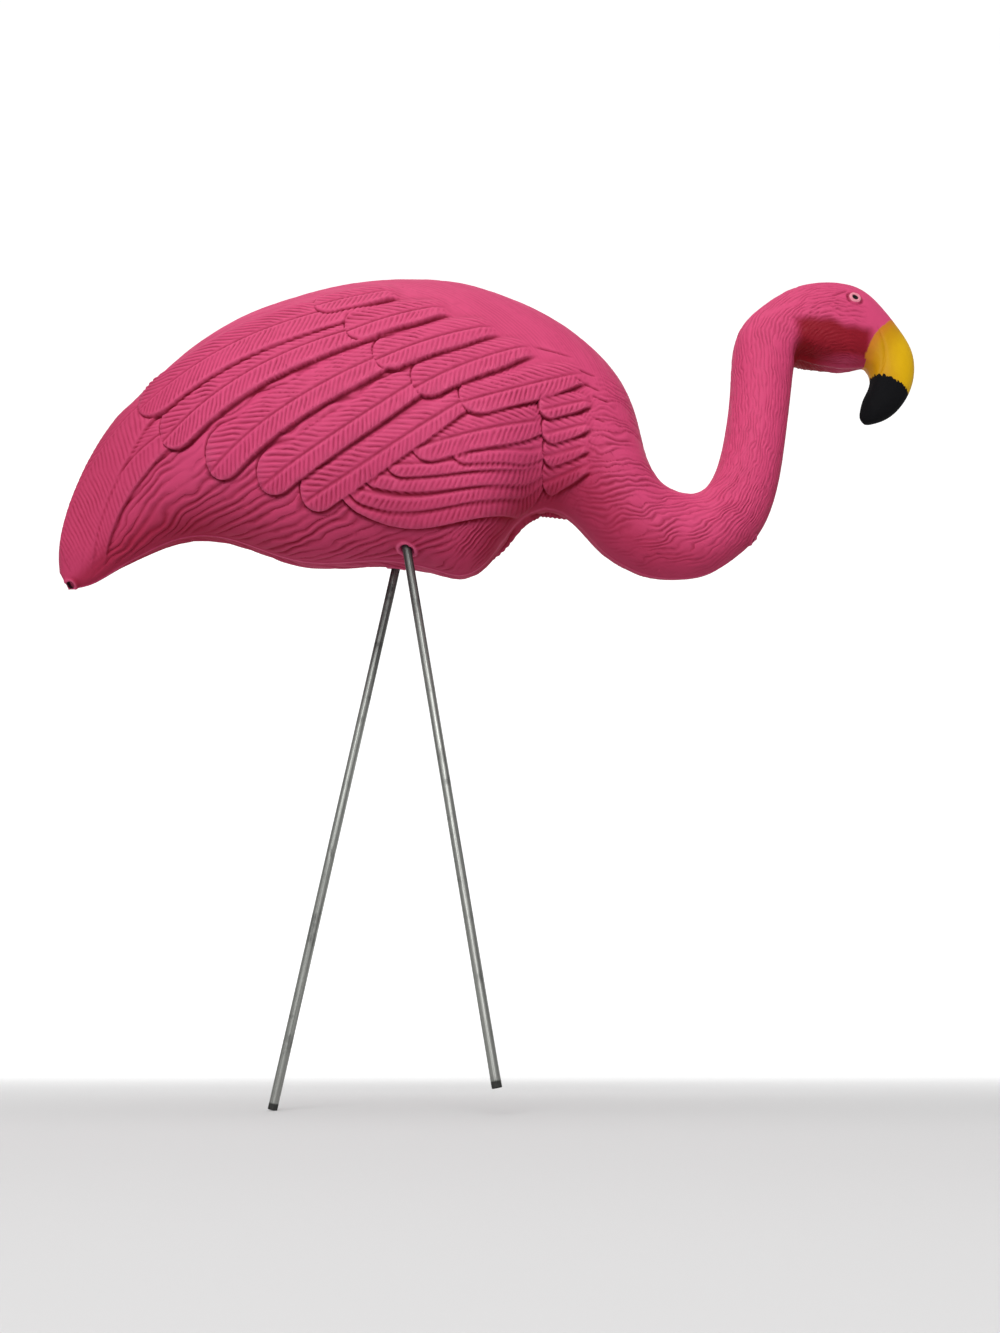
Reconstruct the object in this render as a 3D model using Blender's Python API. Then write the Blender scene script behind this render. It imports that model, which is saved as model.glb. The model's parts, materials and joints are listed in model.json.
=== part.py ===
"""Pink flamingo lawn ornament: a blow-moulded plastic bird on two steel leg rods.

The bird stands along X with its head towards +X and its mid-plane at Y = 0. Its right side faces -Y.
The origin is on the ground, midway between the two rod tips.

The bird's own shape is a free form. Its pose, proportions and carving are written in thousandths of
BIRD_LENGTH, measured from the hip, the point where both rods cross when they are seen from the side.
The rods, their holes and the clearance between them are real sizes of their own.
"""

import bpy
import bmesh
import numpy as np
from math import cos, pi, radians, sin, tan
from mathutils import Matrix, Vector

# Driving sizes in metres and degrees
BIRD_LENGTH = 0.640
ROD_DIAMETER = 0.00635
ROD_LENGTH = 0.445
ROD_CLEARANCE = 0.0003
ROD_END_CHAMFER = 0.0006
RIGHT_ROD_DEPTH = 0.080
LEFT_ROD_DEPTH = 0.062
RIGHT_LEAN = 10.1
LEFT_LEAN = -10.9
ROD_SPLAY = 2.7
HOLE_HALF_SPAN = 0.018
HOLE_MOUTH_PLAY = 0.0012
HOLE_MOUTH_DEPTH = 0.004
HOLE_TAPER = 0.001
RIM_WIDTH = 0.0022
RIM_HEIGHT = 0.0014
VENT_DIAMETER = 0.005
VENT_DEPTH = 0.006

# How fine the carved surface is worked out, and how many triangles are kept of it
GRID_ALONG = 620
GRID_AROUND = 300
HOLE_SIDES = 20
ROD_SIDES = 24
VENT_SIDES = 12
BODY_TRIANGLES = 8800

# Where the rods pass the hip and where the mould's two vents are, as x and z in thousandths
RIGHT_HOLE_AT = (8, 9)
LEFT_HOLE_AT = (-9, 9)
TAIL_VENT_AT = (-368, -24)
NECK_VENT_AT = (398, 33)

# Stations from the tail tip to the beak tip: upper x and z, lower x and z, half width, and how square
# the upper and lower halves of the section are (2 is an ellipse)
STATIONS = (
    (-383, -8, -372, -26, 6, 2.0, 2.0),
    (-387, 28, -347, -21, 17, 2.0, 2.0),
    (-378, 79, -318, -1, 29, 2.0, 2.0),
    (-357, 135, -288, 18, 44, 2.0, 2.0),
    (-328, 184, -257, 33, 62, 2.0, 2.0),
    (-288, 230, -222, 38, 80, 2.0, 2.0),
    (-242, 275, -183, 30, 95, 2.0, 2.0),
    (-189, 309, -141, 14, 106, 2.1, 2.0),
    (-135, 332, -103, 5, 113, 2.1, 2.0),
    (-74, 350, -63, 5, 117, 2.1, 2.0),
    (-11, 358, -19, 7, 118, 2.1, 2.0),
    (51, 357, 32, -2, 115, 2.1, 2.1),
    (102, 345, 72, -10, 109, 2.1, 2.2),
    (150, 323, 105, 10, 102, 2.1, 2.2),
    (192, 295, 132, 44, 94, 2.1, 2.2),
    (228, 261, 163, 62, 84, 2.1, 2.1),
    (255, 223, 194, 52, 74, 2.1, 2.0),
    (271, 179, 224, 23, 63, 2.0, 2.0),
    (281, 136, 256, -1, 53, 2.0, 2.0),
    (293, 108, 284, -12, 46, 2.0, 2.0),
    (309, 91, 314, -14, 41, 2.0, 2.0),
    (333, 84, 346, -8, 38, 2.0, 2.0),
    (354, 94, 378, 12, 37, 2.0, 2.0),
    (367, 119, 408, 44, 36, 2.0, 2.0),
    (374, 158, 430, 96, 35, 2.0, 2.0),
    (379, 206, 445, 164, 34, 2.0, 2.0),
    (385, 252, 458, 236, 35, 2.0, 2.0),
    (399, 296, 470, 263, 37, 2.1, 2.4),
    (426, 330, 483, 264, 40, 2.1, 2.8),
    (462, 358, 500, 264, 41, 2.1, 3.0),
    (504, 368, 522, 264, 39, 2.1, 3.0),
    (543, 361, 541, 263, 33, 2.1, 2.8),
    (569, 336, 549, 257, 27, 2.1, 2.4),
    (588, 305, 552, 245, 23, 2.2, 2.2),
    (602, 272, 549, 229, 21, 2.2, 2.2),
    (601, 236, 543, 213, 19, 2.2, 2.2),
    (588, 206, 538, 196, 16, 2.1, 2.1),
    (567, 187, 538, 185, 11, 2.0, 2.0),
    (550, 178, 541, 177, 4, 2.0, 2.0),
)

# Relief in thousandths: how far the wing stands off the body, the step at a feather's edge, the width
# over which that step rounds off, and the groove along a feather's midrib
WING_PROUD = 1.6
FEATHER_STEP = 4.0
EDGE_SOFTNESS = 3.6
RIB_DEPTH = 1.0
RIB_WIDTH = 2.0

# Feathers from the undermost to the topmost. Each row is given by its first and last feather, with the
# feathers between them evenly placed: root x and z, tip x and z, half width, bow up
SECONDARIES = ((162, 76, -64, 40, 12, -36), (166, 138, 14, 96, 13, -6), 6)
SINGLE_FEATHERS = (
    (66, 149, -82, 42, 19, 2),
    (18, 162, -128, 57, 22, 7),
    (2, 194, -182, 74, 25, 15),
    (-40, 228, -242, 107, 29, 21),
    (-62, 248, -274, 146, 22, 24),
    (-244, 150, -342, 18, 25, 14),
)
COVERTS = ((206, 194, 78, 142, 15, 3), (32, 300, -88, 262, 20, 5), 5)
SHOULDER_TIPS = ((216, 92, 160, 86, 10, 0), (232, 170, 152, 146, 13, 0), 4)

# Head relief in thousandths: the eye's place and size, the gape line along the bill, the cheek's edge
EYE_AT = (531, 330)
EYE_RADIUS = 5.0
EYE_PROUD = 2.2
CHEEK_EDGE_Z = 306
CHEEK_DEPTH = 3.0

# The painted beak in thousandths: the yellow starts at a bowed line up the face, and the black tip
# at a slanted line across the bill. Each line is a point and its slope
BILL_FROM_X = 533
YELLOW_FROM = (544, 262)
YELLOW_SLOPE = 0.68
YELLOW_BOW = 5
YELLOW_TOP_Z = 306
BLACK_FROM = (552, 241)
BLACK_SLOPE = -0.55


def spline(values, where):
    """Natural cubic spline through values at whole-number knots, read at the places in where."""
    count = len(values)
    system = np.eye(count)
    right = np.zeros((count, values.shape[1]))
    for knot in range(1, count - 1):
        system[knot, knot - 1:knot + 2] = (1, 4, 1)
        right[knot] = 6 * (values[knot - 1] - 2 * values[knot] + values[knot + 1])
    bend = np.linalg.solve(system, right)
    low = np.clip(np.floor(where).astype(int), 0, count - 2)
    after = (where - low)[:, None]
    before = 1 - after
    return (before * values[low] + after * values[low + 1]
            + ((before ** 3 - before) * bend[low] + (after ** 3 - after) * bend[low + 1]) / 6)


def body_surface(along, around):
    """Points of the smooth bird in thousandths: a superellipse section carried along the stations.

    The section's middle and half height come from its upper and lower point, and its half width
    reaches out along Y. The angle starts at the upper point and goes round by the right side.
    """
    stations = np.array(STATIONS, dtype=float)
    at = spline(stations, along)
    upper, lower = at[:, None, 0:2], at[:, None, 2:4]
    middle, half = (upper + lower) / 2, (upper - lower) / 2
    width = np.maximum(at[:, 4], 1.0)[:, None]
    c, s = np.cos(around)[None, :], np.sin(around)[None, :]
    square = np.where(c >= 0, at[:, 5:6], at[:, 6:7])
    rise = np.sign(c) * np.abs(c) ** (2 / square)
    reach = np.sign(s) * np.abs(s) ** (2 / square)
    xz = middle + half * rise[..., None]
    return np.stack([xz[..., 0], -width * reach, xz[..., 1]], axis=-1)


def feather_row(first, last, count):
    """Feathers evenly placed between the first and the last, undermost first."""
    share = np.linspace(0, 1, count)[:, None]
    return (1 - share) * np.array(first, dtype=float) + share * np.array(last, dtype=float)


def all_feathers():
    """Every feather of one side, in the order in which they lie on each other."""
    singles = np.array(SINGLE_FEATHERS, dtype=float)
    tail, primaries = singles[-1:], singles[:-1]
    rows = [tail, feather_row(*SECONDARIES), primaries, feather_row(*COVERTS), feather_row(*SHOULDER_TIPS)]
    return np.concatenate(rows)


def smooth_step(value):
    """0 below 0, 1 above 1, with a smooth rise between."""
    value = np.clip(value, 0, 1)
    return value * value * (3 - 2 * value)


def feather_frame(x, z, feather):
    """Place of points on one feather: share of its length from the root, distance below its midrib,
    and half width there. The midrib is the straight line from root to tip, bowed by a parabola."""
    root, tip, half_width, bow = feather[0:2], feather[2:4], feather[4], feather[5]
    length = np.hypot(*(tip - root))
    run = (tip - root) / length
    along = ((x - root[0]) * run[0] + (z - root[1]) * run[1]) / length
    below = -(x - root[0]) * run[1] + (z - root[1]) * run[0]
    inside = np.clip(along, 0, 1)
    below = below + 4 * bow * inside * (1 - inside)
    round_end = 1.1 * half_width / length
    end = np.clip((along - 1 + round_end) / round_end, 0, 1)
    width = half_width * (0.65 + 0.35 * smooth_step(along / 0.4)) * np.sqrt(np.clip(1 - end * end, 0, 1))
    width = np.where((along < 0) | (along > 1), 0, width)
    return along, below, width


def wing_relief(x, z):
    """Height of the feathers over the smooth body. A feather rises out of what lies above it, and
    ends in a step along its lower edge and round its tip."""
    height = np.zeros_like(x)
    for feather in all_feathers():
        along, below, width = feather_frame(x, z, feather)
        near_tip = smooth_step((along - 0.80) / 0.14)
        fade = feather[4] * (1 - near_tip) + EDGE_SOFTNESS * near_tip
        cover = smooth_step((width - below) / EDGE_SOFTNESS) * smooth_step((width + below) / fade)
        across = np.clip(below / feather[4], -1, 1)
        rise = WING_PROUD + FEATHER_STEP * (0.30 + 0.35 * (1 + across))
        rise = rise - RIB_DEPTH * np.exp(-(below / RIB_WIDTH) ** 2)
        cover = cover * smooth_step(along / 0.3)
        height = height * (1 - cover) + rise * cover
    return height


def head_relief(x, z):
    """The eye's raised ring and the hollow below the cheek."""
    from_eye = np.hypot(x - EYE_AT[0], z - EYE_AT[1])
    eye = EYE_PROUD * (smooth_step((EYE_RADIUS * 1.4 - from_eye) / (EYE_RADIUS * 0.4))
                       - 0.5 * smooth_step((EYE_RADIUS * 0.8 - from_eye) / (EYE_RADIUS * 0.3)))
    hollow = smooth_step((CHEEK_EDGE_Z - z) / 16) * smooth_step((x - 456) / 26) * smooth_step((560 - x) / 30)
    return eye - CHEEK_DEPTH * hollow


def carved_bird(count_along, count_around):
    """Points of the bird with its relief, in thousandths, as a grid. The relief moves each point
    along the surface's normal, and fades out at the parting line."""
    along = np.linspace(0, len(STATIONS) - 1, count_along)
    around = np.linspace(0, 2 * pi, count_around, endpoint=False)
    points = body_surface(along, around)
    wrapped = np.concatenate([points[:, -1:], points, points[:, :1]], axis=1)
    normal = np.cross(wrapped[:, 2:] - wrapped[:, :-2], np.gradient(points, axis=0))
    normal /= np.maximum(np.linalg.norm(normal, axis=-1, keepdims=True), 1e-9)
    x, z = points[..., 0], points[..., 2]
    away = smooth_step(np.abs(points[..., 1]) / 12)
    return points + normal * ((wing_relief(x, z) + head_relief(x, z)) * away)[..., None]


def paint_index(x, z):
    """Which paint a place has: 0 for pink, 1 for the yellow beak, 2 for its black tip."""
    height = z - YELLOW_FROM[1]
    share = height / (YELLOW_TOP_Z - YELLOW_FROM[1])
    line = YELLOW_FROM[0] + YELLOW_SLOPE * height - 4 * YELLOW_BOW * share * (1 - share)
    on_face = (x > line) & (z < YELLOW_TOP_Z) & (z >= YELLOW_FROM[1])
    on_bill = (x > BILL_FROM_X) & (z < YELLOW_FROM[1])
    black = (x > BILL_FROM_X) & (z < BLACK_FROM[1] + BLACK_SLOPE * (x - BLACK_FROM[0]))
    return np.where(black, 2, np.where(on_face | on_bill, 1, 0))


def closed_grid_mesh(name, points):
    """Mesh of a grid that is closed around, with a point that caps each end."""
    rings, sides = points.shape[:2]
    ring, side = np.meshgrid(np.arange(rings - 1), np.arange(sides), indexing="ij")
    after = (side + 1) % sides
    quads = np.stack([ring * sides + side, ring * sides + after,
                      (ring + 1) * sides + after, (ring + 1) * sides + side], axis=-1).reshape(-1, 4)
    start, end = rings * sides, rings * sides + 1
    edge = np.arange(sides)
    ahead = (edge + 1) % sides
    last = (rings - 1) * sides
    start_cap = np.stack([np.full(sides, start), ahead, edge], axis=-1)
    end_cap = np.stack([np.full(sides, end), last + edge, last + ahead], axis=-1)
    caps = [points[0].mean(axis=0), points[-1].mean(axis=0)]
    vertices = np.concatenate([points.reshape(-1, 3), caps])
    mesh = bpy.data.meshes.new(name)
    mesh.from_pydata(vertices.tolist(), [], quads.tolist() + start_cap.tolist() + end_cap.tolist())
    mesh.validate()
    return mesh


def clear_scene():
    """Remove every object that the scene starts with."""
    for old in list(bpy.data.objects):
        bpy.data.objects.remove(old, do_unlink=True)


def plain_material(name, colour, roughness, metallic):
    """A Principled material of one colour."""
    material = bpy.data.materials.new(name)
    material.use_nodes = True
    shader = material.node_tree.nodes["Principled BSDF"]
    shader.inputs["Base Color"].default_value = (*colour, 1)
    shader.inputs["Roughness"].default_value = roughness
    shader.inputs["Metallic"].default_value = metallic
    return material


def add_object(name, mesh, *materials):
    """Put a mesh in the scene as an object."""
    piece = bpy.data.objects.new(name, mesh)
    bpy.context.scene.collection.objects.link(piece)
    for material in materials:
        mesh.materials.append(material)
    return piece


def turned_mesh(name, profile, sides, place):
    """A solid of revolution about its own Z axis, moved by a matrix. The profile is a list of radius
    and height from bottom to top, and both ends are closed flat."""
    build = bmesh.new()
    rings = []
    for radius, height in profile:
        turn = [2 * pi * step / sides for step in range(sides)]
        ring = [build.verts.new((radius * cos(angle), radius * sin(angle), height)) for angle in turn]
        rings.append(ring)
    for low, high in zip(rings, rings[1:]):
        for step in range(sides):
            after = (step + 1) % sides
            build.faces.new((low[step], low[after], high[after], high[step]))
    build.faces.new(list(reversed(rings[0])))
    build.faces.new(rings[-1])
    build.transform(place)
    mesh = bpy.data.meshes.new(name)
    build.to_mesh(mesh)
    build.free()
    return mesh


def rod_direction(lean, side):
    """Unit vector up a rod that leans forward to its foot and splays out to its own side."""
    down = Vector((tan(radians(lean)), side * tan(radians(ROD_SPLAY)), -1))
    return -down.normalized()


def along_axis(point, direction):
    """Matrix that puts the origin at a point and the Z axis along a direction."""
    return Matrix.Translation(point) @ direction.to_track_quat("Z", "Y").to_matrix().to_4x4()


def hole_mouth(bird, hole_at, side, direction):
    """Where a rod's centre line meets the bird's underside, in the bird's own frame."""
    passes = Vector((hole_at[0] * BIRD_LENGTH / 1000, side * HOLE_HALF_SPAN, hole_at[1] * BIRD_LENGTH / 1000))
    hit, place, _, _ = bird.ray_cast(passes - direction * BIRD_LENGTH, direction)
    if not hit:
        raise ValueError("a rod misses the bird")
    return place


def tool_object(name, mesh):
    """A cutter or a collar: it shapes the bird and isn't a piece of its own."""
    tool = add_object(name, mesh)
    tool.hide_render = True
    tool.display_type = "WIRE"
    return tool


def combine(target, tool, operation):
    """Join a tool to the bird, or cut it out."""
    boolean = target.modifiers.new(tool.name, "BOOLEAN")
    boolean.operation = operation
    boolean.solver = "EXACT"
    boolean.object = tool


def add_leg(bird, name, hole_at, side, lean, depth, steel):
    """One rod, with the collar and the stepped blind hole that it sits in, all in the bird's own
    frame. Returns the rod's foot and its direction."""
    up = rod_direction(lean, side)
    mouth = hole_mouth(bird, hole_at, side, up)
    place = along_axis(mouth, up)
    radius = ROD_DIAMETER / 2
    bore = radius + ROD_CLEARANCE
    wide = radius + HOLE_MOUTH_PLAY
    rim = [(wide + RIM_WIDTH / 2, -RIM_HEIGHT), (wide + RIM_WIDTH, 0), (wide + RIM_WIDTH, HOLE_MOUTH_DEPTH)]
    combine(bird, tool_object(name + "_rim", turned_mesh(name + "_rim", rim, HOLE_SIDES, place)), "UNION")
    hole = [(wide, -2 * HOLE_MOUTH_DEPTH), (wide, HOLE_MOUTH_DEPTH),
            (bore, HOLE_MOUTH_DEPTH + HOLE_TAPER), (bore, depth + ROD_CLEARANCE)]
    combine(bird, tool_object(name + "_hole", turned_mesh(name + "_hole", hole, HOLE_SIDES, place)), "DIFFERENCE")
    foot = mouth + up * (depth - ROD_LENGTH)
    profile = [(radius - ROD_END_CHAMFER, 0), (radius, ROD_END_CHAMFER),
               (radius, ROD_LENGTH - ROD_END_CHAMFER), (radius - ROD_END_CHAMFER, ROD_LENGTH)]
    rod = add_object(name, turned_mesh(name, profile, ROD_SIDES, Matrix.Identity(4)), steel)
    rod.matrix_world = along_axis(foot, up)
    rod.data.shade_smooth()
    rod.data.set_sharp_from_angle(angle=radians(40))
    return foot, up


def add_vent(bird, name, vent_at, direction):
    """A small blind vent of the mould, bored in along a direction."""
    inward = Vector(direction).normalized()
    mouth = Vector((vent_at[0], 0, vent_at[1])) * BIRD_LENGTH / 1000
    profile = [(VENT_DIAMETER / 2, 0), (VENT_DIAMETER / 2, 2 * VENT_DEPTH)]
    cutter = turned_mesh(name, profile, VENT_SIDES, along_axis(mouth - inward * VENT_DEPTH, inward))
    combine(bird, tool_object(name, cutter), "DIFFERENCE")


def add_bird(pink, yellow, black):
    """The bird as one closed solid, thinned to the number of triangles that it may have."""
    points = carved_bird(GRID_ALONG, GRID_AROUND)
    mesh = closed_grid_mesh("flamingo_body", points * BIRD_LENGTH / 1000)
    bird = add_object("flamingo_body", mesh, pink, yellow, black)
    centres = np.empty(len(mesh.polygons) * 3)
    mesh.polygons.foreach_get("center", centres)
    centres = centres.reshape(-1, 3) * 1000 / BIRD_LENGTH
    mesh.polygons.foreach_set("material_index", paint_index(centres[:, 0], centres[:, 2]).astype(np.int32))
    thin = bird.modifiers.new("fewer_faces", "DECIMATE")
    thin.ratio = BODY_TRIANGLES / sum(len(face.vertices) - 2 for face in mesh.polygons)
    bpy.context.view_layer.update()
    return bird


def stand_up(left_foot, left_up, right_foot):
    """Parent every piece and tool to one empty, and lift it until the left rod's tip is on the ground,
    with the origin midway between the two tips."""
    tilt = left_up.angle(Vector((0, 0, 1)))
    lowest = left_foot.z - (ROD_DIAMETER / 2 - ROD_END_CHAMFER) * sin(tilt)
    stand = bpy.data.objects.new("stand", None)
    bpy.context.scene.collection.objects.link(stand)
    for piece in bpy.context.scene.objects:
        if piece is not stand:
            piece.parent = stand
    stand.location = (-(left_foot.x + right_foot.x) / 2, 0, -lowest)


def main():
    """Build the bird and its two rods, and stand them on the ground."""
    clear_scene()
    pink = plain_material("pink_plastic", (0.66, 0.09, 0.20), 0.5, 0.0)
    yellow = plain_material("beak_yellow", (0.72, 0.42, 0.02), 0.45, 0.0)
    black = plain_material("beak_black", (0.012, 0.012, 0.014), 0.4, 0.0)
    steel = plain_material("bright_steel", (0.55, 0.56, 0.57), 0.35, 1.0)
    bird = add_bird(pink, yellow, black)
    right_foot, _ = add_leg(bird, "leg_rod_right", RIGHT_HOLE_AT, -1, RIGHT_LEAN, RIGHT_ROD_DEPTH, steel)
    left_foot, left_up = add_leg(bird, "leg_rod_left", LEFT_HOLE_AT, 1, LEFT_LEAN, LEFT_ROD_DEPTH, steel)
    add_vent(bird, "tail_vent", TAIL_VENT_AT, (1, 0, 1))
    add_vent(bird, "neck_vent", NECK_VENT_AT, (-1, 0, 0.3))
    stand_up(left_foot, left_up, right_foot)
    bpy.context.view_layer.update()


main()
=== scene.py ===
"""Pink flamingo lawn ornament: the finish of the moulded bird and its two steel leg rods.

Lengths on the bird are in thousandths of its own length, measured from the hip, and x and z are its
side view. Everything else is in metres. The script is laid out as an add-on and is run as a script.
"""

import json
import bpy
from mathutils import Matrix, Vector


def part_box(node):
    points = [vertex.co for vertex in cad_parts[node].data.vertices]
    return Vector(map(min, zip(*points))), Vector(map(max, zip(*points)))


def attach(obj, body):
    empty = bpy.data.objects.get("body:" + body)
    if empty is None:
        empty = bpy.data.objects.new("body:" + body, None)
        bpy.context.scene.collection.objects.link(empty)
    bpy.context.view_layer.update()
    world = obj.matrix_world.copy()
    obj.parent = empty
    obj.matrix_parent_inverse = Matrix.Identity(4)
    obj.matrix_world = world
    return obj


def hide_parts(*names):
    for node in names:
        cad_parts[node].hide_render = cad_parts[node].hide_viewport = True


bl_info = {
    "name": "Pink Flamingo Lawn Ornament",
    "version": (1, 0, 0),
    "blender": (4, 5, 0),
    "location": "3D View > Sidebar > Flamingo",
    "description": "Carves and paints a moulded garden flamingo on two steel rods",
    "category": "Add Mesh",
}

from math import pi, radians

import bpy
import numpy as np
from bpy.props import FloatProperty, FloatVectorProperty, IntProperty, PointerProperty
from mathutils import Vector

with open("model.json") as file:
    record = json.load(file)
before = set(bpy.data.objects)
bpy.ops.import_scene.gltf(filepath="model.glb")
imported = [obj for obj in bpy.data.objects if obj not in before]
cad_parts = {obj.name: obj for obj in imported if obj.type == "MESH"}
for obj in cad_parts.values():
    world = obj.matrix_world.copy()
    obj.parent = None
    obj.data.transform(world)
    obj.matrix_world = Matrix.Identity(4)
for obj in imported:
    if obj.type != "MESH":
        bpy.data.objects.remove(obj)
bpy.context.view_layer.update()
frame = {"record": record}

# Stations from the tail tip to the beak tip: upper x and z, lower x and z, half width, and how square
# the upper and lower halves of the section are (2 is an ellipse)
STATIONS = np.array((
    (-383, -8, -372, -26, 6, 2.0, 2.0),
    (-387, 28, -347, -21, 17, 2.0, 2.0),
    (-378, 79, -318, -1, 29, 2.0, 2.0),
    (-357, 135, -288, 18, 44, 2.0, 2.0),
    (-328, 184, -257, 33, 62, 2.0, 2.0),
    (-288, 230, -222, 38, 80, 2.0, 2.0),
    (-242, 275, -183, 30, 95, 2.0, 2.0),
    (-189, 309, -141, 14, 106, 2.1, 2.0),
    (-135, 332, -103, 5, 113, 2.1, 2.0),
    (-74, 350, -63, 5, 117, 2.1, 2.0),
    (-11, 358, -19, 7, 118, 2.1, 2.0),
    (51, 357, 32, -2, 115, 2.1, 2.0),
    (102, 345, 72, -10, 109, 2.1, 1.95),
    (150, 323, 104, 15, 102, 2.1, 1.85),
    (192, 295, 131, 53, 94, 2.1, 1.75),
    (228, 261, 163, 71, 84, 2.1, 1.75),
    (255, 223, 195, 57, 74, 2.1, 1.85),
    (271, 179, 224, 23, 63, 2.0, 2.0),
    (279, 136, 256, -1, 53, 2.0, 2.0),
    (291, 107, 284, -12, 46, 2.0, 2.0),
    (308, 92, 314, -14, 41, 2.0, 2.0),
    (331, 87, 346, -8, 38, 2.0, 2.0),
    (351, 99, 378, 12, 37, 2.0, 2.0),
    (365, 126, 408, 44, 36, 2.0, 2.0),
    (375, 163, 430, 96, 35, 2.0, 2.0),
    (383, 207, 445, 164, 34, 2.0, 2.0),
    (388, 252, 458, 236, 35, 2.0, 2.0),
    (397, 298, 467, 266, 37, 2.1, 2.4),
    (424, 332, 482, 263, 40, 2.1, 2.8),
    (462, 358, 500, 259, 41, 2.1, 3.0),
    (504, 368, 522, 256, 39, 2.1, 3.0),
    (544, 362, 542, 257, 33, 2.1, 2.8),
    (571, 337, 549, 255, 27, 2.1, 2.4),
    (590, 307, 552, 245, 23, 2.2, 2.2),
    (604, 274, 549, 229, 21, 2.2, 2.2),
    (602, 237, 541, 213, 19, 2.2, 2.2),
    (588, 208, 536, 198, 16, 2.1, 2.1),
    (570, 190, 535, 188, 11, 2.0, 2.0),
    (552, 182, 539, 181, 4, 2.0, 2.0),
))

# Feathers from the undermost to the topmost: root x and z, tip x and z, half width, bow up
FEATHERS = np.array((
    (-226, 138, -355, -24, 27, 36), (-268, 186, -383, -30, 46, 36),
    (184, 124, -67, 60, 17, -51), (176, 110, -56, 61, 14, -32), (180, 116, -42, 75, 15, -25),
    (172, 116, -11, 80, 14, -12), (167, 117, 59, 90, 13, -4), (167, 143, 17, 94, 20, -2),
    (92, 162, -100, 44, 18, -4), (62, 196, -146, 60, 20, -3), (36, 222, -203, 80, 23, 9),
    (6, 246, -257, 115, 25, 20), (-1, 278, -290, 160, 30, 22),
    (211, 202, 69, 144, 20, -1), (150, 227, 19, 158, 21, 4), (111, 251, -24, 190, 21, 3),
    (55, 273, -57, 228, 20, 3), (-2, 298, -96, 272, 20, 1),
    (212, 97, 158, 86, 13, 1), (212, 116, 158, 106, 11, 1), (213, 139, 157, 125, 12, 1),
    (213, 165, 154, 147, 12, 1),
), dtype=float)

# The long feathers over the tail start behind this x, and are weaker
TAIL_BEHIND = -200
TAIL_STRENGTH = 0.6

# Each rod's side of the bird and its mount in the frame, then the sizes of holes, rims and rods in
# metres: the play round a rod in its hole's mouth, and how far outside the mouth the rim is highest
RODS = {"leg_rod_right": (-1, "right_rod_end"), "leg_rod_left": (1, "left_rod_end")}
HOLE_PLAY = 0.0012
HOLE_MOUTH_DEPTH = 0.004
HOLE_TAPER = 0.001
HOLE_SIDES = 40
RIM_OUT = 0.0017
RIM_WIDTH = 0.0015
ROD_END_CHAMFER = 0.0006
ROD_SIDES = 40
ROD_RINGS = 420
DARK_END = 0.0048
NICK_AT = 0.17

# The vents: x and z of each mouth in thousandths and the direction inwards, then sizes in metres, and
# how far from a mouth's middle its dark inside, which is painted shade, ends and its pale lip ends
VENTS = (((-369, -24), (1, 0.6, 1)), ((396, 33), (-1, 0.6, 0.3)))
VENT_RADIUS = 0.0029
VENT_DEPTH = 0.006
VENT_SIDES = 24
VENT_LIP_OUT = 0.0012
VENT_LIP_WIDTH = 0.0011
VENT_SIDE = -0.0022
VENT_DARK_END = (0.0026, 0.0034)
VENT_LIP_END = (0.0042, 0.0052)

# The painted beak and the eye in thousandths: the yellow's edge against the face, the black's against
# the yellow, and where the eye's pale ring and its pupil end
BILL_FROM_X = 530
YELLOW_FROM_X = 546
YELLOW_FROM = (544, 262)
YELLOW_SLOPE = 0.68
YELLOW_BOW = 5
YELLOW_HEIGHT = 44
YELLOW_RAGGED = 5
BLACK_FROM = (552, 241)
BLACK_SLOPE = -0.55
BLACK_TEETH = 10
EYE_AT = (532.5, 330)
EYE_RING_END = (6.6, 7.6)
PUPIL_END = (3.4, 4.4)

# Slope of the strokes at places along x: on the body, in front of the legs, and on the breast
BODY_BENDS = ((-300, 0.95), (-185, 0.42), (40, 0.6), (80, 1.3))
FRONT_BENDS = ((40, 0.9), (80, 1.4), (150, 1.6))
BREAST_BENDS = ((190, 0.0), (240, 0.22), (320, 0.34), (355, 0.8), (395, 1.8))

# Short grooves on the upper breast, from and to, in thousandths
BREAST_DASHES = (
    (148, 225, 195, 219), (200, 202, 218, 199), (193, 189, 226, 179), (214, 172, 234, 167),
    (214, 146, 228, 142),
)
# Wavy grooves over the cheek: height of the first, their pitch, and how many
CHEEK_GROOVES = (322, 7, 4)
# The groove under the brow, from and to, in thousandths
BROW = (504, 330, 526, 342)

# The slope that rises from the belly into the notch under the breast, where shade is painted: its middle
# and direction
NOTCH_AT = (138, 38)
NOTCH_RISE = (0.67, 0.74)

# Windows along the stations, each by its start, rise, end and fall: where the strokes of the belly,
# breast, neck and back are, the notch, the low breast and front where shade is painted, and the pale
# parting line
BELLY_ROWS = (0.8, 1.5, 16.5, 2.0)
BREAST_ROWS = (15.0, 1.5, 24.5, 2.5)
NECK_ROWS = (21.0, 2.5, 31.5, 2.0)
BACK_ROWS = (1, 2, 18, 3)
NOTCH_ROWS = (12, 1.5, 18, 1.5)
BARE_NOTCH_ROWS = (12, 2, 19, 2)
LOW_BREAST_ROWS = (14.5, 2, 23, 3)
FRONT_ROWS = (10.5, 2, 22, 4)
PALE_SEAM_ROWS = (4, 2, 13.5, 1.5)
# The stations where the parting line and the painted shade end
SEAM_END_ROW = 27
SHADE_END_ROW = 28.5

# Each softbox in metres: its place, the point that it faces, and its width
OVERHEAD = ((-0.3, -0.5, 2.4), (0.05, 0, 0.45), 1.8)
FRONT = ((-0.2, -2.6, 1.5), (0.05, 0, 0.40), 1.6)
# Height of the photograph in pixels
PHOTO_HEIGHT = 1333


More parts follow.
